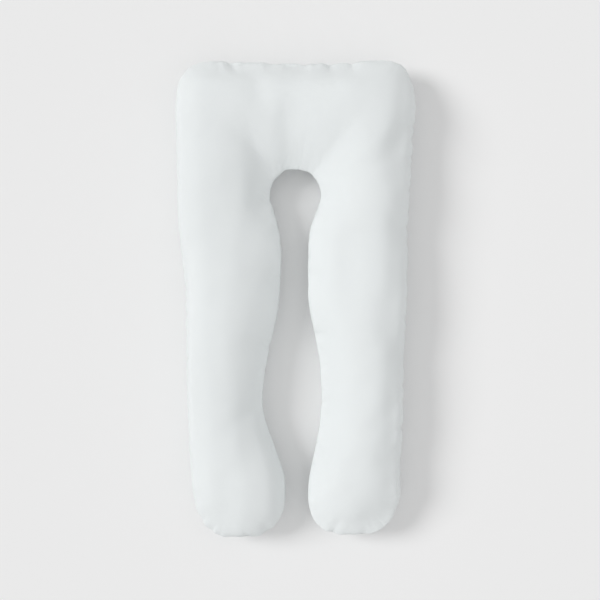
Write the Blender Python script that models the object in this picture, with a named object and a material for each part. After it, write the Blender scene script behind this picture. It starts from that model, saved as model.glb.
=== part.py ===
"""U-shaped body pillow: two U-shaped panels sewn together round the edge, filled, and lying flat.

Metres. +Z is up and +Y points to the head. The origin is under the middle of the pillow, on the surface it lies on.
"""

from collections import namedtuple
from math import ceil, cos, pi, radians, sin

import bmesh
import bpy
import numpy as np

# Driving sizes of the filled pillow.
SEAM_HEIGHT = 0.085  # the edge seam runs round the pillow at this height
CROWN = 0.094  # rise of the upper panel over the seam where a section is full
NECK_CENTRE = (-0.003, 0.331)  # middle of the round neck hole
NECK_RADIUS = 0.087
FOOT_ROUNDING = 0.080  # over this length a foot rounds down to its seam

# How a section curves from seam to seam. A power of 2 and a pinch of 0.5 would be an ellipse.
INNER_POWER, INNER_PINCH = 2.05, 0.78  # a long slope down to the inner seam
OUTER_PINCH = 0.56  # the outer side's power is the section's own, in the tables
FOOT_POWER, FOOT_PINCH = 2.8, 0.52  # the foot's end
LOWER_POWER, LOWER_PINCH = 4.0, 0.70  # the lower panel is flatter
WEIGHT_PRESS = 1.08  # over 1, the filling presses part of the lower panel flat on the surface

# How finely the surface is laid out.
RING_POINTS = 36  # round each section
SECTION_PITCH = 0.034  # along the pillow
WELD = 0.0001  # the panels' points this close at a foot's end are one

COVER_COLOUR = (0.86, 0.89, 0.89, 1.0)
COVER_ROUGHNESS = 0.92

# Sections across a leg, from the foot's end to the neck hole. crest is where the section is highest, from 0 at the
# inner seam to 1 at the outer one. square is how squarely its outer side turns down: 2 is round and 8 is like a box.
# fill is the share of the full crown.
LegSection = namedtuple("LegSection", "y outer_x inner_x crest square fill")
LEFT_LEG = [
    LegSection(-0.7600, -0.218, -0.168, 0.50, 2.3, 1.00),
    LegSection(-0.7480, -0.258, -0.112, 0.50, 2.3, 1.00),
    LegSection(-0.7300, -0.284, -0.077, 0.50, 2.5, 1.00),
    LegSection(-0.7020, -0.305, -0.052, 0.50, 3.0, 1.00),
    LegSection(-0.6650, -0.321, -0.040, 0.50, 3.8, 1.00),
    LegSection(-0.6200, -0.330, -0.037, 0.52, 4.8, 1.00),
    LegSection(-0.5700, -0.332, -0.038, 0.55, 5.5, 0.99),
    LegSection(-0.5200, -0.336, -0.054, 0.58, 6.5, 0.97),
    LegSection(-0.4600, -0.338, -0.079, 0.60, 7.5, 0.94),
    LegSection(-0.4000, -0.340, -0.105, 0.62, 8.0, 0.90),
    LegSection(-0.3430, -0.342, -0.118, 0.63, 8.0, 0.88),
    LegSection(-0.2750, -0.345, -0.113, 0.63, 8.0, 0.90),
    LegSection(-0.2100, -0.346, -0.103, 0.63, 8.0, 0.93),
    LegSection(-0.1400, -0.346, -0.089, 0.63, 8.0, 0.96),
    LegSection(-0.0700, -0.346, -0.065, 0.62, 8.0, 0.98),
    LegSection(0.0000, -0.346, -0.056, 0.60, 8.0, 1.00),
    LegSection(0.0600, -0.350, -0.055, 0.60, 8.0, 1.00),
    LegSection(0.1200, -0.355, -0.048, 0.60, 8.0, 1.00),
    LegSection(0.1800, -0.367, -0.050, 0.60, 8.0, 1.00),
    LegSection(0.2400, -0.375, -0.062, 0.60, 8.0, 1.00),
]
RIGHT_LEG = [
    LegSection(-0.7520, 0.200, 0.158, 0.50, 2.1, 1.00),
    LegSection(-0.7420, 0.250, 0.105, 0.50, 2.1, 1.00),
    LegSection(-0.7250, 0.286, 0.071, 0.50, 2.1, 1.00),
    LegSection(-0.6980, 0.308, 0.052, 0.50, 2.1, 1.00),
    LegSection(-0.6650, 0.322, 0.042, 0.50, 2.1, 1.00),
    LegSection(-0.6300, 0.332, 0.038, 0.50, 2.1, 1.00),
    LegSection(-0.5830, 0.330, 0.040, 0.52, 2.1, 0.99),
    LegSection(-0.5320, 0.329, 0.052, 0.54, 2.1, 0.97),
    LegSection(-0.4800, 0.330, 0.067, 0.56, 2.1, 0.95),
    LegSection(-0.4250, 0.337, 0.079, 0.58, 2.1, 0.93),
    LegSection(-0.3660, 0.340, 0.087, 0.60, 2.1, 0.92),
    LegSection(-0.3000, 0.340, 0.089, 0.60, 2.1, 0.92),
    LegSection(-0.2350, 0.337, 0.086, 0.60, 2.1, 0.93),
    LegSection(-0.1710, 0.337, 0.079, 0.60, 2.1, 0.95),
    LegSection(-0.1080, 0.344, 0.064, 0.60, 2.1, 0.97),
    LegSection(-0.0480, 0.352, 0.045, 0.60, 2.1, 0.99),
    LegSection(0.0080, 0.353, 0.035, 0.60, 2.1, 1.00),
    LegSection(0.0680, 0.353, 0.042, 0.60, 2.1, 1.00),
    LegSection(0.1240, 0.352, 0.039, 0.60, 2.1, 1.00),
    LegSection(0.1810, 0.349, 0.039, 0.60, 2.1, 1.00),
    LegSection(0.2300, 0.349, 0.046, 0.60, 2.1, 1.00),
]

# Sections that fan round the neck hole, clockwise from the left leg. neck_deg is where one meets the hole's edge,
# counted anticlockwise from +X.
HeadSection = namedtuple("HeadSection", "outer_x outer_y neck_deg crest square fill")
HEAD = [
    HeadSection(-0.378, 0.310, 208, 0.60, 8.0, 1.00),
    HeadSection(-0.378, 0.386, 192, 0.60, 8.0, 1.01),
    HeadSection(-0.377, 0.456, 176, 0.60, 8.0, 1.02),
    HeadSection(-0.378, 0.520, 162, 0.60, 8.0, 1.03),
    HeadSection(-0.383, 0.578, 150, 0.60, 8.0, 1.04),
    HeadSection(-0.382, 0.635, 140, 0.60, 7.0, 1.03),
    HeadSection(-0.376, 0.699, 130, 0.60, 6.0, 1.01),
    HeadSection(-0.349, 0.736, 123, 0.60, 5.0, 1.00),
    HeadSection(-0.307, 0.757, 117, 0.60, 4.0, 1.00),
    HeadSection(-0.256, 0.757, 111, 0.60, 3.2, 1.00),
    HeadSection(-0.198, 0.748, 104, 0.60, 3.2, 1.00),
    HeadSection(-0.130, 0.751, 97, 0.60, 3.2, 1.00),
    HeadSection(-0.068, 0.750, 91, 0.60, 3.2, 1.00),
    HeadSection(-0.008, 0.742, 85, 0.60, 3.2, 0.99),
    HeadSection(0.062, 0.748, 78, 0.60, 3.2, 1.00),
    HeadSection(0.130, 0.743, 71, 0.60, 3.2, 1.01),
    HeadSection(0.198, 0.753, 64, 0.60, 3.2, 1.02),
    HeadSection(0.256, 0.758, 57, 0.60, 3.2, 1.02),
    HeadSection(0.304, 0.760, 52, 0.60, 3.2, 1.01),
    HeadSection(0.346, 0.744, 46, 0.60, 2.6, 1.01),
    HeadSection(0.368, 0.699, 40, 0.60, 2.4, 1.02),
    HeadSection(0.380, 0.640, 34, 0.60, 2.2, 1.03),
    HeadSection(0.380, 0.592, 28, 0.60, 2.1, 1.03),
    HeadSection(0.368, 0.549, 21, 0.60, 2.1, 1.02),
    HeadSection(0.371, 0.505, 13, 0.60, 2.1, 1.02),
    HeadSection(0.366, 0.443, 2, 0.60, 2.1, 1.02),
    HeadSection(0.363, 0.379, -12, 0.60, 2.1, 1.01),
    HeadSection(0.355, 0.300, -29, 0.60, 2.1, 1.00),
]

# Soft troughs in the upper panel, where the filling has parted: each runs from one point to another.
Trough = namedtuple("Trough", "start end half_width depth")
TROUGHS = [
    Trough((-0.130, 0.405), (-0.128, 0.300), 0.042, 0.014),  # left of the neck hole
    Trough((-0.020, 0.424), (-0.036, 0.556), 0.042, 0.015),  # above the neck hole
    Trough((-0.077, 0.405), (-0.157, 0.507), 0.030, 0.009),  # from the neck hole to the left corner
    Trough((-0.131, 0.683), (-0.141, 0.475), 0.048, 0.007),  # across the left half of the head
    Trough((0.349, 0.546), (0.268, 0.420), 0.030, 0.012),  # in from the notch in the right edge
    Trough((-0.205, 0.347), (-0.237, 0.187), 0.045, 0.006),  # top of the left leg
    Trough((-0.083, 0.187), (-0.186, 0.021), 0.026, 0.006),  # across the left leg
    Trough((-0.125, -0.338), (-0.185, -0.395), 0.020, 0.010),  # from the waist of the left leg
    Trough((-0.141, -0.427), (-0.157, -0.510), 0.020, 0.005),  # above the left foot
    Trough((0.326, -0.325), (0.179, -0.453), 0.048, 0.008),  # above the right foot
]

Section = namedtuple("Section", "outer inner crest square fill")


def clear_scene():
    for thing in list(bpy.data.objects):
        bpy.data.objects.remove(thing)


def leg_section(row):
    return Section((row.outer_x, row.y), (row.inner_x, row.y), row.crest, row.square, row.fill)


def head_section(row):
    turn = radians(row.neck_deg)
    inner = (NECK_CENTRE[0] + NECK_RADIUS * cos(turn), NECK_CENTRE[1] + NECK_RADIUS * sin(turn))
    return Section((row.outer_x, row.outer_y), inner, row.crest, row.square, row.fill)


def table_sections():
    """Every section of the tables in order: left foot, left leg, head, right leg, right foot."""
    left = [leg_section(row) for row in LEFT_LEG]
    head = [head_section(row) for row in HEAD]
    right = [leg_section(row) for row in reversed(RIGHT_LEG)]
    return left + head + right


def smooth_sections(rows):
    """Sections about SECTION_PITCH apart, on smooth curves through the rows of the tables."""
    points = np.array([[*row.outer, *row.inner, row.crest, row.square, row.fill] for row in rows])
    steps = np.diff(points, axis=0)
    gaps = np.maximum(np.hypot(steps[:, 0], steps[:, 1]), np.hypot(steps[:, 2], steps[:, 3]))
    slopes = steps / gaps[:, None]
    before, after = gaps[:-1, None], gaps[1:, None]
    turning = (slopes[:-1] * after + slopes[1:] * before) / (before + after)
    tangents = np.vstack([slopes[:1], turning, slopes[-1:]])
    found = []
    for i, gap in enumerate(gaps):
        parts = max(2, ceil(gap / SECTION_PITCH))
        for part in range(parts):
            t = part / parts
            found.append(
                (2 * t**3 - 3 * t**2 + 1) * points[i]
                + (t**3 - 2 * t**2 + t) * gap * tangents[i]
                + (3 * t**2 - 2 * t**3) * points[i + 1]
                + (t**3 - t**2) * gap * tangents[i + 1]
            )
    found.append(points[-1])
    return [Section(row[0:2], row[2:4], *row[4:]) for row in found]


def rise(off, power, pinch):
    """Share of the height at a place: off is 0 where the panel is highest and 1 at the seam."""
    return max(0.0, 1 - off**power) ** pinch


def foot_rounding(x, y):
    """Share of the full thickness at a point, which falls to nothing as a foot rounds down to its end."""
    foot_end = LEFT_LEG[0].y if x < 0 else RIGHT_LEG[0].y
    short = max(0.0, 1 - (y - foot_end) / FOOT_ROUNDING)
    return rise(short, FOOT_POWER, FOOT_PINCH)


def trough_depth(x, y):
    """How far the troughs lower the upper panel at a point seen from above."""
    depth = 0.0
    for trough in TROUGHS:
        start, end = np.array(trough.start), np.array(trough.end)
        along = np.clip((np.array([x, y]) - start) @ (end - start) / ((end - start) @ (end - start)), 0, 1)
        away = np.hypot(*(np.array([x, y]) - start - along * (end - start)))
        depth += trough.depth * np.exp(-((away / trough.half_width) ** 2))
    return depth


def upper_rise(section, across):
    """Share of the upper panel's height at a place from -1, the inner seam, to 1, the outer one."""
    top = 2 * section.crest - 1
    if across > top:
        return rise((across - top) / (1 - top), section.square, OUTER_PINCH)
    return rise((top - across) / (1 + top), INNER_POWER, INNER_PINCH)


def section_points(section):
    """The closed ring of points round one section, from the outer seam over the top to the inner seam and back."""
    middle, half = (section.outer + section.inner) / 2, (section.outer - section.inner) / 2
    rounding = foot_rounding(*middle)
    points = []
    for i in range(RING_POINTS):
        turn = 2 * pi * i / RING_POINTS
        across = cos(turn)
        x, y = middle + across * half
        if turn <= pi:
            height = CROWN * section.fill - trough_depth(x, y)
            z = SEAM_HEIGHT + height * rounding * upper_rise(section, across)
        else:
            depth = WEIGHT_PRESS * rounding * rise(abs(across), LOWER_POWER, LOWER_PINCH)
            z = SEAM_HEIGHT * (1 - min(1.0, depth))
        points.append((x, y, z))
    return points


def section_ring(mesh, points):
    """A closed loop of edges through the points."""
    ring = [mesh.verts.new(point) for point in points]
    return [mesh.edges.new(pair) for pair in zip(ring, ring[1:] + ring[:1])]


def centre_over_origin(mesh):
    """Puts the middle of the pillow's length and width over the origin."""
    places = np.array([vert.co for vert in mesh.verts])
    middle = (places.min(axis=0) + places.max(axis=0)) / 2
    bmesh.ops.translate(mesh, vec=(-middle[0], -middle[1], 0), verts=mesh.verts)


def cover_material():
    material = bpy.data.materials.new("white_cover")
    material.use_nodes = True
    shader = material.node_tree.nodes["Principled BSDF"]
    shader.inputs["Base Color"].default_value = COVER_COLOUR
    shader.inputs["Roughness"].default_value = COVER_ROUGHNESS
    shader.inputs["Metallic"].default_value = 0.0
    return material


def make_pillow():
    """The filled pillow: rings round its sections, bridged from foot to foot."""
    shaped = bmesh.new()
    rings = [section_ring(shaped, section_points(section)) for section in smooth_sections(table_sections())]
    for near, far in zip(rings, rings[1:]):
        bmesh.ops.bridge_loops(shaped, edges=near + far)
    bmesh.ops.remove_doubles(shaped, verts=shaped.verts, dist=WELD)
    bmesh.ops.recalc_face_normals(shaped, faces=shaped.faces)
    centre_over_origin(shaped)
    mesh = bpy.data.meshes.new("pillow")
    shaped.to_mesh(mesh)
    shaped.free()
    mesh.shade_smooth()
    mesh.materials.append(cover_material())
    pillow = bpy.data.objects.new("pillow", mesh)
    bpy.context.scene.collection.objects.link(pillow)
    return pillow


clear_scene()
make_pillow()
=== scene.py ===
"""The looks of a U-shaped body pillow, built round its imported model.

Metres, +Z up. The head of the pillow is at +Y and its feet are at -Y.
"""

from collections import defaultdict, namedtuple
from math import cos, pi, radians, sin

import bmesh
import bpy
import numpy as np
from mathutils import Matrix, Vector
from mathutils.kdtree import KDTree


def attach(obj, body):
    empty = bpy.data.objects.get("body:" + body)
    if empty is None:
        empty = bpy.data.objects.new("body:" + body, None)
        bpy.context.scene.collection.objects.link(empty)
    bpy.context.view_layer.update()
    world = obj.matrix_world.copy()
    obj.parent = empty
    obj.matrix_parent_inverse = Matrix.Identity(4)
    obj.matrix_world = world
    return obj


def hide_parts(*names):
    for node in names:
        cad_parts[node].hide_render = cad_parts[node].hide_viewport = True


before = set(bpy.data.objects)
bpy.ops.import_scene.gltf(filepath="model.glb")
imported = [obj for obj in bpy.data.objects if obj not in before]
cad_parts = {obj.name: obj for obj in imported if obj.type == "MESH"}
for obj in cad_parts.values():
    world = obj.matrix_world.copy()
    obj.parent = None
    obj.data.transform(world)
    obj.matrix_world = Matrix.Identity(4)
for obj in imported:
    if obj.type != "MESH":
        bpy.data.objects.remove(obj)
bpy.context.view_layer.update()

# ---- The filled cushion ----------------------------------------------------------------------------
# Two U-shaped panels of soft white cloth, sewn together all round with the seam turned inside, and stuffed
# with loose fibre. The thread draws the seam in a little, so the cloth gathers along it, and the filling
# holds the panels out.

SEAM_HEIGHT = 0.085  # the seam runs round the cushion at this height
LEVEL_WITHIN = 0.0001
WELD = 0.00001  # points nearer to each other than this are one
PAIRING_ANGLE = radians(60)  # two triangles up to this angle apart are one patch of a panel

panels = bmesh.new()
panels.from_mesh(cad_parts["pillow"].data)
bmesh.ops.remove_doubles(panels, verts=panels.verts, dist=WELD)
bmesh.ops.join_triangles(
    panels, faces=panels.faces, angle_face_threshold=PAIRING_ANGLE, angle_shape_threshold=2 * PAIRING_ANGLE
)


def joins_panels(edge):
    """Whether the upper panel and the lower panel meet at this edge."""
    low, high = sorted(face.calc_center_median().z for face in edge.link_faces)
    level = all(abs(vert.co.z - SEAM_HEIGHT) < LEVEL_WITHIN for vert in edge.verts)
    return level and low < SEAM_HEIGHT < high


SEAM_GROUP, HELD_GROUP = 0, 1
RESTING_HEIGHT = 0.002  # below this the lower panel is pressed flat
FILLING_HOLD = 0.25  # how firmly the filling keeps the panels in their shape
weights = panels.verts.layers.deform.verify()
for vert in panels.verts:
    vert[weights][HELD_GROUP] = 1.0 if vert.co.z < RESTING_HEIGHT else FILLING_HOLD
for edge in panels.edges:
    edge.seam = joins_panels(edge)
    if edge.seam:
        for vert in edge.verts:
            vert[weights][SEAM_GROUP] = 1.0

cushion_mesh = bpy.data.meshes.new("cushion")
panels.to_mesh(cushion_mesh)
panels.free()
cushion_mesh.attributes.remove(cushion_mesh.attributes["custom_normal"])
cushion = bpy.data.objects.new("cushion", cushion_mesh)
bpy.context.scene.collection.objects.link(cushion)
cushion.vertex_groups.new(name="seam")
cushion.vertex_groups.new(name="held")


def keep_modifiers():
    """Makes the cushion's mesh what its modifiers give."""
    shown = cushion.evaluated_get(bpy.context.evaluated_depsgraph_get())
    mesh = bpy.data.meshes.new_from_object(shown)
    cushion.modifiers.clear()
    cushion.data = mesh


def refine():
    """Divides each patch in four, on a smooth surface."""
    finer = cushion.modifiers.new("finer", "SUBSURF")
    finer.levels = finer.render_levels = 1
    keep_modifiers()


def read_points():
    """Where the points of the cushion's mesh lie, a row for each."""
    points = np.empty(3 * len(cushion.data.vertices), np.float32)
    cushion.data.vertices.foreach_get("co", points)
    return points.reshape(-1, 3).astype(float)


def write_points(points):
    """Moves the points of the cushion's mesh to these places, but not below the surface that it lies on."""
    points[:, 2] = np.maximum(points[:, 2], 0.0)
    cushion.data.vertices.foreach_set("co", points.astype(np.float32).ravel())
    cushion.data.update()


def read_normals():
    """Which way the cloth faces at each point."""
    normals = np.empty(3 * len(cushion.data.vertices), np.float32)
    cushion.data.vertices.foreach_get("normal", normals)
    return normals.reshape(-1, 3).astype(float)


# The panels are laid out flat, as they were cut, for the weave to follow. Each is then turned and sized to
# lie as the cushion does, so a unit of its map is a metre of cloth.
PANEL_GAP = 0.02  # between the two panels as they are laid out, as a share of the map
bpy.context.view_layer.objects.active = cushion
bpy.ops.object.mode_set(mode="EDIT")
bpy.ops.mesh.select_all(action="SELECT")
bpy.ops.uv.unwrap(method="ANGLE_BASED", margin=PANEL_GAP)
bpy.ops.object.mode_set(mode="OBJECT")


def lay_on_the_grain(faces):
    """Turns and sizes the flat map of one panel so that its weave runs straight along the cushion."""
    layer = cushion.data.uv_layers.active.data
    verts, loops = cushion.data.vertices, cushion.data.loops
    corners = [corner for face in faces for corner in face.loop_indices]
    flat = np.array([layer[corner].uv for corner in corners])
    seen = np.array([verts[loops[corner].vertex_index].co.xy for corner in corners])
    flat_middle, seen_middle = flat.mean(axis=0), seen.mean(axis=0)
    left, _, right = np.linalg.svd((flat - flat_middle).T @ (seen - seen_middle))
    cloth_area = sum(face.area for face in faces)
    map_area = 0.0
    for face in faces:
        u, v = np.array([layer[corner].uv for corner in face.loop_indices]).T
        map_area += abs(np.sum(u * np.roll(v, 1) - v * np.roll(u, 1))) / 2
    placed = (flat - flat_middle) @ (left @ right) * np.sqrt(cloth_area / map_area) + seen_middle
    for corner, place in zip(corners, placed):
        layer[corner].uv = place


lay_on_the_grain([face for face in cushion.data.polygons if face.center.z > SEAM_HEIGHT])
lay_on_the_grain([face for face in cushion.data.polygons if face.center.z < SEAM_HEIGHT])

refine()


def trace_seam():
    """The points of the seam in their order round the cushion, and how far round each of them lies."""
    beside = defaultdict(list)
    for edge in cushion.data.edges:
        if edge.use_seam:
            near, far = edge.vertices
            beside[near].append(far)
            beside[far].append(near)
    here = min(beside)
    order = [here]
    ahead = beside[here][0]
    while ahead != order[0]:
        order.append(ahead)
        here, ahead = ahead, next(vert for vert in beside[ahead] if vert != here)
    ring = np.array([cushion.data.vertices[vert].co for vert in order])
    steps = np.linalg.norm(np.roll(ring, -1, axis=0) - ring, axis=1)
    return ring, np.concatenate(([0.0], np.cumsum(steps)))


SEAM_FINENESS = 6  # points looked at on each short stretch of the seam


def measure_from_seam(points):
    """How far each point lies from the seam, and how far round the seam its nearest place is."""
    ring, round_seam = trace_seam()
    ring = np.vstack((ring, ring[:1]))
    place = np.linspace(0, len(ring) - 1, SEAM_FINENESS * (len(ring) - 1), endpoint=False)
    line = np.column_stack([np.interp(place, np.arange(len(ring)), ring[:, axis]) for axis in range(3)])
    tree = KDTree(len(line))
    for index, spot in enumerate(line):
        tree.insert(spot, index)
    tree.balance()
    found = [tree.find(point) for point in points]
    off = np.array([hit[2] for hit in found])
    along = np.interp(place[[hit[1] for hit in found]], np.arange(len(ring)), round_seam)
    return off, along, round_seam[-1]


def average_around(field, rounds):
    """Averages what is given for each point with what its neighbours have, again and again."""
    ends = np.empty(2 * len(cushion.data.edges), np.int32)
    cushion.data.edges.foreach_get("vertices", ends)
    near, far = ends.reshape(-1, 2).T
    count = np.bincount(near, minlength=len(field)) + np.bincount(far, minlength=len(field))
    for _ in range(rounds):
        total = np.column_stack([
            np.bincount(near, field[far, axis], len(field)) + np.bincount(far, field[near, axis], len(field))
            for axis in range(3)
        ])
        field = (field + total / count[:, None]) / 2
    return field


def fade(distance, reach=1.0):
    """One at no distance, dying out softly at about this reach."""
    return np.exp(-((distance / reach) ** 2))


# The thread's pull and the filling's push, by a short cloth simulation. The cushion has its broad form
# already, so only the fine part of the movement, its wrinkles and gathers, is kept.
SIMULATED_STEPS = 20
SOLVER_QUALITY = 5
POINT_MASS = 0.3
STRETCH_STIFFNESS = 15
SHEAR_STIFFNESS = 5
BENDING_STIFFNESS = 0.5
AIR_DRAG = 1
FILLING_PRESSURE = 4.0
THREAD_PULL = 0.06  # share by which the thread shortens the seam
CLOTH_EASE = -0.02  # the panels' own slack, as a negative shrinkage
WRINKLE_ROUNDS = 60  # averaging that leaves the broad part of the movement
FURTHEST_MOVE = 0.006
LEAST_MOVE = 0.00001  # added to every length, so that none is nought
WRINKLES_REACH = 0.060  # how far from the seam its wrinkles are kept whole
PANEL_SHARE = 0.6  # how much of its wrinkles the middle of a panel keeps
HOLE_MIDDLE = (-0.003, 0.330)
HOLE_CALM = 0.110  # the short edge round the neck hole is sewn flat, as far as this from its middle
HOLE_SHARE = 0.2  # how much of its wrinkles that edge keeps
LET_OUT = 0.0025  # what the thread's pull takes off the whole outline, given back near the seam
LET_OUT_REACH = 0.020

before, outward = read_points(), read_normals()
cloth = cushion.modifiers.new("cloth", "CLOTH")
cloth.settings.quality = SOLVER_QUALITY
cloth.settings.mass = POINT_MASS
cloth.settings.tension_stiffness = STRETCH_STIFFNESS
cloth.settings.compression_stiffness = STRETCH_STIFFNESS
cloth.settings.shear_stiffness = SHEAR_STIFFNESS
cloth.settings.bending_stiffness = BENDING_STIFFNESS
cloth.settings.air_damping = AIR_DRAG
cloth.settings.use_pressure = True
cloth.settings.uniform_pressure_force = FILLING_PRESSURE
cloth.settings.effector_weights.gravity = 0
cloth.settings.vertex_group_mass = "held"
cloth.settings.vertex_group_shrink = "seam"
cloth.settings.shrink_min = CLOTH_EASE
cloth.settings.shrink_max = THREAD_PULL
cloth.collision_settings.use_collision = False
cloth.point_cache.frame_start, cloth.point_cache.frame_end = 1, SIMULATED_STEPS
for step in range(1, SIMULATED_STEPS + 1):
    bpy.context.scene.frame_set(step)
keep_modifiers()
bpy.context.scene.frame_set(1)
moves = read_points() - before
wrinkles = moves - average_around(moves, WRINKLE_ROUNDS)
off_seam, _, _ = measure_from_seam(before)
wrinkles *= (PANEL_SHARE + (1 - PANEL_SHARE) * fade(off_seam, WRINKLES_REACH))[:, None]
from_hole = np.linalg.norm(before[:, :2] - HOLE_MIDDLE, axis=1)
calmed = 1 - (1 - HOLE_SHARE) * fade((from_hole / HOLE_CALM) ** 2)
wrinkles *= calmed[:, None]
lengths = np.linalg.norm(wrinkles, axis=1) + LEAST_MOVE
limited = FURTHEST_MOVE * np.tanh(lengths / FURTHEST_MOVE)
let_out = LET_OUT * calmed * fade(off_seam, LET_OUT_REACH)
write_points(before + wrinkles * (limited / lengths)[:, None] + outward * let_out[:, None])

refine()

# Smoothing draws every surface in a little, and this brings it out again.
SMOOTHING_LOSS = 0.0018
write_points(read_points() + SMOOTHING_LOSS * read_normals())


def measure_from_line(line, points):
    """How far each point lies from a bent line, seen from above, and its share of the way along it."""
    line = np.array(line)
    lengths = np.linalg.norm(np.diff(line, axis=0), axis=1)
    off, along = np.full(len(points), np.inf), np.zeros(len(points))
    passed = 0.0
    for start, end, length in zip(line, line[1:], lengths):
        share = np.clip((points[:, :2] - start) @ (end - start) / length**2, 0, 1)
        away = np.linalg.norm(points[:, :2] - start - share[:, None] * (end - start), axis=1)
        nearer = away < off
        off[nearer] = away[nearer]
        along[nearer] = (passed + share * length)[nearer] / lengths.sum()
        passed += length
    return off, along


# Hollows where the filling has parted and swells where it has gathered, as seen from above. Each lies along
# a bent line, and its height above the plain crown goes evenly from the first value to the last. A hollow's
# is below nought. It is nothing at the seam, and whole from its rise above the seam upwards.
CROWN_RISE = 0.090
TIGHT_RISE = 0.035  # where the filling stands tight against the seam
Swell = namedtuple("Swell", "line half_width first last rise", defaults=[CROWN_RISE])
SWELLS = [
    # the full upper edge of the left wall, and the slack beside the right one
    Swell([
        (-0.378, 0.66), (-0.374, 0.48), (-0.375, 0.28), (-0.361, 0.15),
        (-0.350, 0.03), (-0.349, -0.20), (-0.338, -0.45), (-0.327, -0.62),
    ], 0.015, 0.011, 0.012, TIGHT_RISE),
    Swell([
        (-0.345, 0.68), (-0.341, 0.48), (-0.341, 0.28), (-0.328, 0.15),
        (-0.317, 0.03), (-0.316, -0.20), (-0.305, -0.45), (-0.300, -0.62),
    ], 0.026, -0.006, -0.006),
    Swell([(0.346, 0.70), (0.340, 0.56), (0.330, 0.49)], 0.020, -0.010, -0.007),
    Swell([(0.316, 0.25), (0.309, -0.05), (0.303, -0.45), (0.300, -0.66)], 0.020, -0.005, -0.004),
    Swell([
        (0.360, 0.70), (0.356, 0.55), (0.352, 0.31), (0.345, 0.00), (0.338, -0.35), (0.330, -0.62),
    ], 0.020, 0.002, 0.011, TIGHT_RISE),
    # head: its rounded top, the slack above the neck hole, and the fuller parts on both sides of it
    Swell([(-0.340, 0.770), (0.340, 0.770)], 0.080, -0.044, -0.038),
    Swell([(-0.330, 0.742), (-0.180, 0.738), (-0.040, 0.733), (0.175, 0.733)], 0.026, -0.016, -0.014),
    Swell([(-0.115, 0.700), (-0.102, 0.600), (-0.092, 0.500)], 0.030, -0.005, -0.004),
    Swell([(-0.030, 0.640), (0.018, 0.520), (0.026, 0.440)], 0.062, -0.007, -0.018),
    Swell([(0.179, 0.651), (0.205, 0.475)], 0.075, 0.009, 0.009),
    Swell([(0.262, 0.465), (0.262, 0.400)], 0.022, 0.005, 0.005),
    Swell([(0.335, 0.480), (0.328, 0.390)], 0.032, -0.014, -0.010),
    # left of the neck hole
    Swell([(-0.092, 0.400), (-0.090, 0.331), (-0.080, 0.267)], 0.035, -0.015, -0.014),
    Swell([(-0.162, 0.520), (-0.152, 0.420), (-0.156, 0.310)], 0.030, 0.006, 0.011),
    # left leg
    Swell([(-0.120, 0.290), (-0.130, 0.215), (-0.152, 0.150)], 0.045, -0.008, -0.010),
    Swell([
        (-0.105, 0.185), (-0.150, 0.110), (-0.200, 0.043), (-0.215, -0.069),
        (-0.211, -0.165), (-0.190, -0.277), (-0.180, -0.357),
    ], 0.036, 0.003, 0.004),
    Swell([(-0.090, 0.117), (-0.096, -0.005), (-0.122, -0.133)], 0.032, -0.006, -0.004),
    Swell([(-0.108, -0.230), (-0.120, -0.330), (-0.112, -0.420)], 0.034, 0.008, 0.012),
    Swell([(-0.154, -0.363), (-0.150, -0.375)], 0.022, -0.006, -0.006),
    Swell([(-0.174, -0.430), (-0.180, -0.450)], 0.024, 0.005, 0.005),
    # left foot: full on the side of the slot, and low towards its end
    Swell([(-0.080, -0.440), (-0.058, -0.580), (-0.062, -0.680)], 0.040, 0.018, 0.024),
    Swell([(-0.220, -0.580), (-0.220, -0.690)], 0.050, -0.006, -0.006),
    Swell([(-0.330, -0.720), (-0.180, -0.775), (-0.040, -0.720)], 0.090, -0.012, -0.010),
    Swell([(-0.330, -0.760), (-0.040, -0.760)], 0.105, -0.052, -0.026),
    # right leg
    Swell([(0.282, -0.015), (0.278, -0.117)], 0.028, -0.006, -0.006),
    Swell([(0.157, 0.190), (0.157, -0.050)], 0.035, -0.005, -0.005),
    Swell([(0.200, 0.160), (0.200, 0.010)], 0.070, -0.009, -0.007),
    Swell([(0.150, -0.062), (0.150, -0.400)], 0.045, 0.006, 0.006),
    Swell([(0.256, -0.325), (0.211, -0.405), (0.160, -0.501)], 0.030, 0.005, 0.004),
    Swell([(0.305, -0.414), (0.270, -0.523)], 0.030, -0.007, -0.007),
    # right foot: low on its outer side and towards its end
    Swell([(0.180, -0.540), (0.180, -0.600)], 0.050, -0.008, -0.008),
    Swell([(0.290, -0.540), (0.290, -0.700)], 0.090, -0.008, -0.018),
    Swell([(0.030, -0.720), (0.180, -0.775), (0.330, -0.720)], 0.090, -0.012, -0.010),
    Swell([(0.040, -0.760), (0.330, -0.760)], 0.110, -0.054, -0.054),
]
SOFT_ROUNDS = 24  # averaging that leaves no hard fold between the swells
SEAM_KEPT = 0.030  # near to the seam, within about this distance, nothing is averaged

points = read_points()
above_seam = points[:, 2] - SEAM_HEIGHT
for swell in SWELLS:
    crown = np.clip(above_seam / swell.rise, 0, 1)
    off, along = measure_from_line(swell.line, points)
    height = swell.first + (swell.last - swell.first) * along
    points[:, 2] += crown * height * fade(off, swell.half_width)
off_seam, _, _ = measure_from_seam(points)
softened = (1 - fade(off_seam, SEAM_KEPT))[:, None]
write_points(points + softened * (average_around(points, SOFT_ROUNDS) - points))

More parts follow.
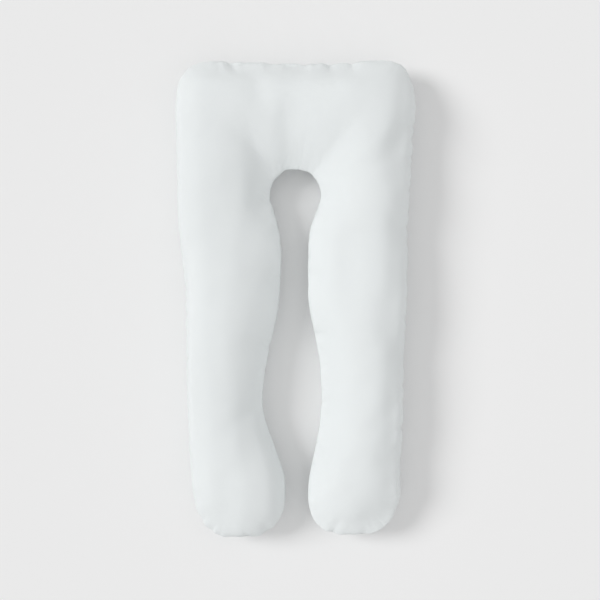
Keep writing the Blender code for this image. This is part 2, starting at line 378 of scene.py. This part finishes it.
# Creases that the seam's thread or the bent filling leaves: a narrow trough with raised shoulders along a
# bent line, deep at its start and dying out towards its end. They lie in the upper panel, and run out a
# little way below the seam.
Crease = namedtuple("Crease", "line half_width depth")
CREASES = [
    # gathers in the head's top edge
    Crease([(-0.212, 0.760), (-0.200, 0.736), (-0.176, 0.712)], 0.013, 0.0060),
    Crease([(-0.078, 0.756), (-0.086, 0.708)], 0.014, 0.0045),
    Crease([(0.030, 0.752), (0.024, 0.704)], 0.014, 0.0045),
    Crease([(0.112, 0.756), (0.106, 0.706)], 0.013, 0.0050),
    Crease([(0.176, 0.760), (0.184, 0.714)], 0.014, 0.0040),
    # notch in the right edge
    Crease([(0.371, 0.549), (0.350, 0.540), (0.330, 0.530)], 0.009, 0.0045),
    # puckers at the ends of the feet
    Crease([(-0.309, -0.710), (-0.282, -0.686)], 0.010, 0.0035),
    Crease([(-0.272, -0.746), (-0.258, -0.716)], 0.010, 0.0030),
    Crease([(-0.096, -0.746), (-0.106, -0.708)], 0.011, 0.0035),
    Crease([(0.114, -0.756), (0.126, -0.726), (0.144, -0.690)], 0.011, 0.0050),
]
SHOULDER = 0.35  # a shoulder's height as a share of the trough's depth
SHOULDER_PLACE = 2.2  # half widths from the trough's line
CREASE_FOOT = SEAM_HEIGHT / 2  # no crease goes lower

points, normals = read_points(), read_normals()
upper = np.clip((points[:, 2] - CREASE_FOOT) / (SEAM_HEIGHT - CREASE_FOOT), 0, 1)
drawn_in = np.zeros(len(points))
for crease in CREASES:
    off, along = measure_from_line(crease.line, points)
    off /= crease.half_width
    shape = fade(off) - SHOULDER * fade(off - SHOULDER_PLACE)
    drawn_in += upper * crease.depth * (1 - along) * shape

# The seam: a low ridge where the two panels meet edge to edge, and across it the uneven gathers that the
# thread draws in, with the cloth standing out between them. Each kind of gather has its spacing, and the
# least and the most of its width, of its depth, and of how far from the seam it reaches.
RIDGE_WIDTH = 0.0040
RIDGE_HEIGHT = 0.0015
STANDING_OUT = 0.0014  # about as much as the gathers draw in on average
STANDING_REACH = 0.022
CHANCE_SEED = 7
Gather = namedtuple("Gather", "spacing widths depths reaches")
GATHERS = [
    Gather(0.040, (0.008, 0.017), (0.0010, 0.0052), (0.014, 0.055)),
    Gather(0.018, (0.005, 0.008), (0.0003, 0.0016), (0.008, 0.022)),
]
GATHER_END = 2  # past this many times its longest reach, a gather is next to nothing

# Stretches where the thread gathers less, as boxes seen from above, and the share of its gathers that each
# keeps.
Calm = namedtuple("Calm", "left right foot head share")
CALM_PLACES = [
    Calm(-0.150, 0.150, -0.700, 0.450, 0.25),  # along the slot and round the neck hole
    Calm(-0.400, -0.300, -0.680, 0.680, 0.40),  # down the left side
    Calm(-0.400, 0.400, 0.700, 0.800, 0.60),  # the head's top edge
    Calm(-0.400, 0.400, -0.800, -0.690, 0.55),  # the ends of the feet
]


def slack(place):
    """The share of its gathers that the seam has here."""
    for calm in CALM_PLACES:
        if calm.left < place[0] < calm.right and calm.foot < place[1] < calm.head:
            return calm.share
    return 1.0


off_seam, along, seam_length = measure_from_seam(points)
drawn_in -= RIDGE_HEIGHT * fade(off_seam, RIDGE_WIDTH)
drawn_in -= STANDING_OUT * fade(off_seam, STANDING_REACH)
chance = np.random.default_rng(CHANCE_SEED)
for gather in GATHERS:
    close = np.flatnonzero(off_seam < GATHER_END * gather.reaches[1])
    for middle in np.arange(0, seam_length, gather.spacing):
        middle += chance.uniform(-0.5, 0.5) * gather.spacing
        width = chance.uniform(*gather.widths)
        depth = chance.uniform(*gather.depths)
        reach = chance.uniform(*gather.reaches)
        aside = np.abs((along[close] - middle + seam_length / 2) % seam_length - seam_length / 2)
        depth *= slack(points[close[np.argmin(aside)]])
        drawn_in[close] += depth * fade(off_seam[close], reach) * fade(aside, width)
points -= normals * drawn_in[:, None]
write_points(points)
cushion.data.shade_smooth()
for name, values in (("off_seam", off_seam), ("along_seam", along)):
    attribute = cushion.data.attributes.new(name, "FLOAT", "POINT")
    attribute.data.foreach_set("value", values.astype(np.float32))

# The cover's cloth: a plain weave of fine matt polyester, cool white, brushed to a short soft nap. Its
# threads are a little uneven. It has the faint broad creases of a cover that has been filled, and tiny
# puckers and shallow folds that run out from the seam. Shade is painted into the low places of its weave
# and into the fine groove along the seam.
SHINE = 0.2
NAP_SHEEN = 0.10
NAP_SPREAD = 0.5  # how widely the nap's sheen scatters
cover = bpy.data.materials.new("cover_cloth")
cover.use_nodes = True
shader = cover.node_tree.nodes["Principled BSDF"]
shader.inputs["Specular IOR Level"].default_value = SHINE
shader.inputs["Sheen Weight"].default_value = NAP_SHEEN
shader.inputs["Sheen Roughness"].default_value = NAP_SPREAD


def node(kind, inputs=None, tree=cover.node_tree, **settings):
    """A new node with these settings, its inputs set to values or joined to other nodes' outputs."""
    made = tree.nodes.new(f"ShaderNode{kind}")
    for name, value in settings.items():
        setattr(made, name, value)
    for name, value in (inputs or {}).items():
        if isinstance(value, bpy.types.NodeSocket):
            tree.links.new(value, made.inputs[name])
        else:
            made.inputs[name].default_value = value
    return made


def maths(operation, *values, tree=cover.node_tree):
    """What this operation makes of these values or outputs."""
    return node("Math", dict(enumerate(values)), tree, operation=operation).outputs[0]


def speckle(where, size, detail=3.0, stretch=(1, 1, 1)):
    """Soft random spots of about this size in metres."""
    scale = [side / size for side in stretch]
    stretched = node("VectorMath", {0: where, 1: scale}, operation="MULTIPLY").outputs[0]
    return node("TexNoise", {"Vector": stretched, "Scale": 1.0, "Detail": detail}).outputs["Fac"]


cloth_map = node("UVMap", uv_map=cushion.data.uv_layers.active.name).outputs["UV"]
in_space = node("TexCoord").outputs["Object"]

# Warp and weft pass over each other by turns, and each swells and thins along its length.
THREAD_PITCH = 0.0010
SLUB_SIZE = 0.004
ALONG_X, ALONG_Y = (0.2, 3, 1), (3, 0.2, 1)  # spots drawn out to a thread's shape
across = node("SeparateXYZ", {0: cloth_map})
warp_side = maths("SINE", maths("MULTIPLY", across.outputs["X"], pi / THREAD_PITCH))
weft_side = maths("SINE", maths("MULTIPLY", across.outputs["Y"], pi / THREAD_PITCH))
turn = maths("MULTIPLY", warp_side, weft_side)
warp = maths("MULTIPLY", maths("ABSOLUTE", warp_side), maths("ADD", 1.0, turn))
weft = maths("MULTIPLY", maths("ABSOLUTE", weft_side), maths("SUBTRACT", 1.0, turn))
warp_slub = speckle(cloth_map, SLUB_SIZE, stretch=ALONG_Y)
weft_slub = speckle(cloth_map, SLUB_SIZE, stretch=ALONG_X)
weave = maths("MULTIPLY", maths("MAXIMUM", warp, weft), maths("ADD", warp_slub, weft_slub))

NAP_SIZE = 0.0016
MOTTLE_SIZE = 0.110
CREASING_SIZE = 0.055
nap = speckle(in_space, NAP_SIZE, detail=4.0)
mottle = speckle(in_space, MOTTLE_SIZE, detail=5.0)
creasing = speckle(in_space, CREASING_SIZE, detail=4.0)
round_seam = node("Attribute", attribute_name="along_seam").outputs["Fac"]
from_seam = node("Attribute", attribute_name="off_seam").outputs["Fac"]


def near_seam(reach):
    """One at the seam, dying out at this distance from it."""
    inputs = {"Value": from_seam, "From Max": reach, "To Min": 1.0, "To Max": 0.0}
    return node("MapRange", inputs, interpolation_type="SMOOTHSTEP").outputs["Result"]


PUCKER_PITCH = 0.007
PUCKER_REACH = 0.024
FOLD_PITCH = 0.019  # shallow folds that run on from the gathers
FOLD_REACH = 0.085
SEAM_LINE = 0.0016  # half the width of the fine groove between the two panels
pucker_place = maths("DIVIDE", round_seam, PUCKER_PITCH)
puckers = node("TexNoise", {"W": pucker_place, "Scale": 1.0}, noise_dimensions="1D")
puckering = maths("MULTIPLY", puckers.outputs["Fac"], near_seam(PUCKER_REACH))
fold_place = node("CombineXYZ", {
    "X": maths("DIVIDE", round_seam, FOLD_PITCH),
    "Y": maths("DIVIDE", from_seam, FOLD_REACH),
})
folds = node(
    "TexNoise", {"Vector": fold_place.outputs["Vector"], "Scale": 1.0, "Detail": 1.0}, noise_dimensions="2D"
)
folding = maths("MULTIPLY", folds.outputs["Fac"], near_seam(FOLD_REACH))
# A mask along the seam's fine groove. It carries painted shade into the colour, and its opposite raises the
# cloth beside the groove.
seam_line = near_seam(SEAM_LINE)
beside_line = maths("SUBTRACT", 1.0, seam_line)

COVER_COLOUR = (0.882, 0.914, 0.916, 1)
COVER_SHADE = (0.858, 0.892, 0.896, 1)
# painted shade: the cloth is darkened where its weave lies low, between the threads and where they thin
PAINTED_WEAVE_SHADE = (0.828, 0.867, 0.874, 1)
PAINTED_WEAVE_SHADE_STRENGTH = 0.25
# painted shade in the fine groove where the two panels meet along the seam
PAINTED_GROOVE_SHADE = (0.70, 0.73, 0.74, 1)
# The cloth's own tone varies at random. Over it goes painted shade in the low places of the weave, then
# painted shade in the seam's groove.
between = maths("MULTIPLY", maths("SUBTRACT", 1.0, weave), PAINTED_WEAVE_SHADE_STRENGTH)
tone = COVER_SHADE
for share, colour in ((mottle, COVER_COLOUR), (between, PAINTED_WEAVE_SHADE), (seam_line, PAINTED_GROOVE_SHADE)):
    tone = node("Mix", {"Factor": share, "A": tone, "B": colour}, data_type="RGBA").outputs["Result"]
cover.node_tree.links.new(tone, shader.inputs["Base Color"])

SMOOTHEST, ROUGHEST = 0.86, 0.98
matt = node("MapRange", {"Value": nap, "To Min": SMOOTHEST, "To Max": ROUGHEST})
cover.node_tree.links.new(matt.outputs["Result"], shader.inputs["Roughness"])

Relief = namedtuple("Relief", "height distance strength")
raised = {}
for relief in (
    Relief(creasing, 0.0040, 0.30),
    Relief(folding, 0.0040, 0.35),
    Relief(puckering, 0.0020, 0.50),
    Relief(beside_line, 0.0010, 0.80),
    Relief(nap, 0.0004, 0.40),
    Relief(weave, 0.0002, 0.60),
):
    inputs = {"Height": relief.height, "Distance": relief.distance, "Strength": relief.strength}
    raised = {"Normal": node("Bump", inputs | raised).outputs["Normal"]}
cover.node_tree.links.new(raised["Normal"], shader.inputs["Normal"])
cushion.data.materials.clear()
cushion.data.materials.append(cover)

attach(cushion, "root")
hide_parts("pillow")

# ---- The studio ------------------------------------------------------------------------------------
# A plain pale floor and one broad soft light far off to the left, under a pale dome that is brightest
# overhead. The camera looks straight down.

FLOOR_SIZE = 200.0  # it fills the picture up to the horizon, also seen from low down
FLOOR_COLOUR = (0.885, 0.885, 0.885, 1)
FLOOR_ROUGHNESS = 0.9
floor_plan = bmesh.new()
bmesh.ops.create_grid(floor_plan, x_segments=1, y_segments=1, size=FLOOR_SIZE / 2)
floor_mesh = bpy.data.meshes.new("floor")
floor_plan.to_mesh(floor_mesh)
floor_plan.free()
floor = bpy.data.objects.new("floor", floor_mesh)
bpy.context.scene.collection.objects.link(floor)
floor_finish = bpy.data.materials.new("floor_finish")
floor_finish.use_nodes = True
floor_shader = floor_finish.node_tree.nodes["Principled BSDF"]
floor_shader.inputs["Base Color"].default_value = FLOOR_COLOUR
floor_shader.inputs["Roughness"].default_value = FLOOR_ROUGHNESS
floor_shader.inputs["Specular IOR Level"].default_value = 0.0
floor_mesh.materials.append(floor_finish)

LIGHT_ELEVATION = radians(36)
LIGHT_TURN = radians(14)  # from straight left, towards the head
LIGHT_SPREAD = radians(24)
LIGHT_STRENGTH = 0.475  # the brightness it gives a white surface that faces it
lamp = bpy.data.lights.new("main_light", "SUN")
lamp.angle = LIGHT_SPREAD
lamp.energy = LIGHT_STRENGTH * pi
main_light = bpy.data.objects.new("main_light", lamp)
bpy.context.scene.collection.objects.link(main_light)
level = cos(LIGHT_ELEVATION)
aim = Vector((-level * cos(LIGHT_TURN), level * sin(LIGHT_TURN), sin(LIGHT_ELEVATION)))
main_light.rotation_euler = aim.to_track_quat("Z", "Y").to_euler()

# The dome's brightness straight up, and level with the floor to each side, with none towards the main light.
OVERHEAD, RIGHTWARD, HEADWARD, FOOTWARD = 0.786, 0.475, 0.150, 0.360
dome = bpy.data.worlds.new("dome")
bpy.context.scene.world = dome
dome.use_nodes = True
sky = dome.node_tree
direction = node("TexCoord", tree=sky).outputs["Generated"]
looking = node("SeparateXYZ", {"Vector": direction}, sky)
brightness = maths("MULTIPLY", looking.outputs["Z"], OVERHEAD, tree=sky)
for axis, sign, share in (("X", 1, RIGHTWARD), ("Y", 1, HEADWARD), ("Y", -1, FOOTWARD)):
    that_way = maths("MAXIMUM", maths("MULTIPLY", looking.outputs[axis], sign, tree=sky), 0.0, tree=sky)
    squared = maths("MULTIPLY", that_way, that_way, tree=sky)
    brightness = maths("MULTIPLY_ADD", squared, share, brightness, tree=sky)
sky.links.new(brightness, sky.nodes["Background"].inputs["Color"])

CAMERA_PLACE = (0.0128, -0.0048, 4.0)
PICTURE_WIDTH = 1.92  # what the picture takes in at the height of the seam
SENSOR_WIDTH = 36  # millimetres
camera_body = bpy.data.cameras.new("camera")
camera_body.sensor_width = SENSOR_WIDTH
camera_body.lens = SENSOR_WIDTH * (CAMERA_PLACE[2] - SEAM_HEIGHT) / PICTURE_WIDTH
camera = bpy.data.objects.new("camera", camera_body)
camera.location = CAMERA_PLACE
bpy.context.scene.collection.objects.link(camera)
bpy.context.scene.camera = camera
bpy.context.scene.view_settings.view_transform = "Standard"
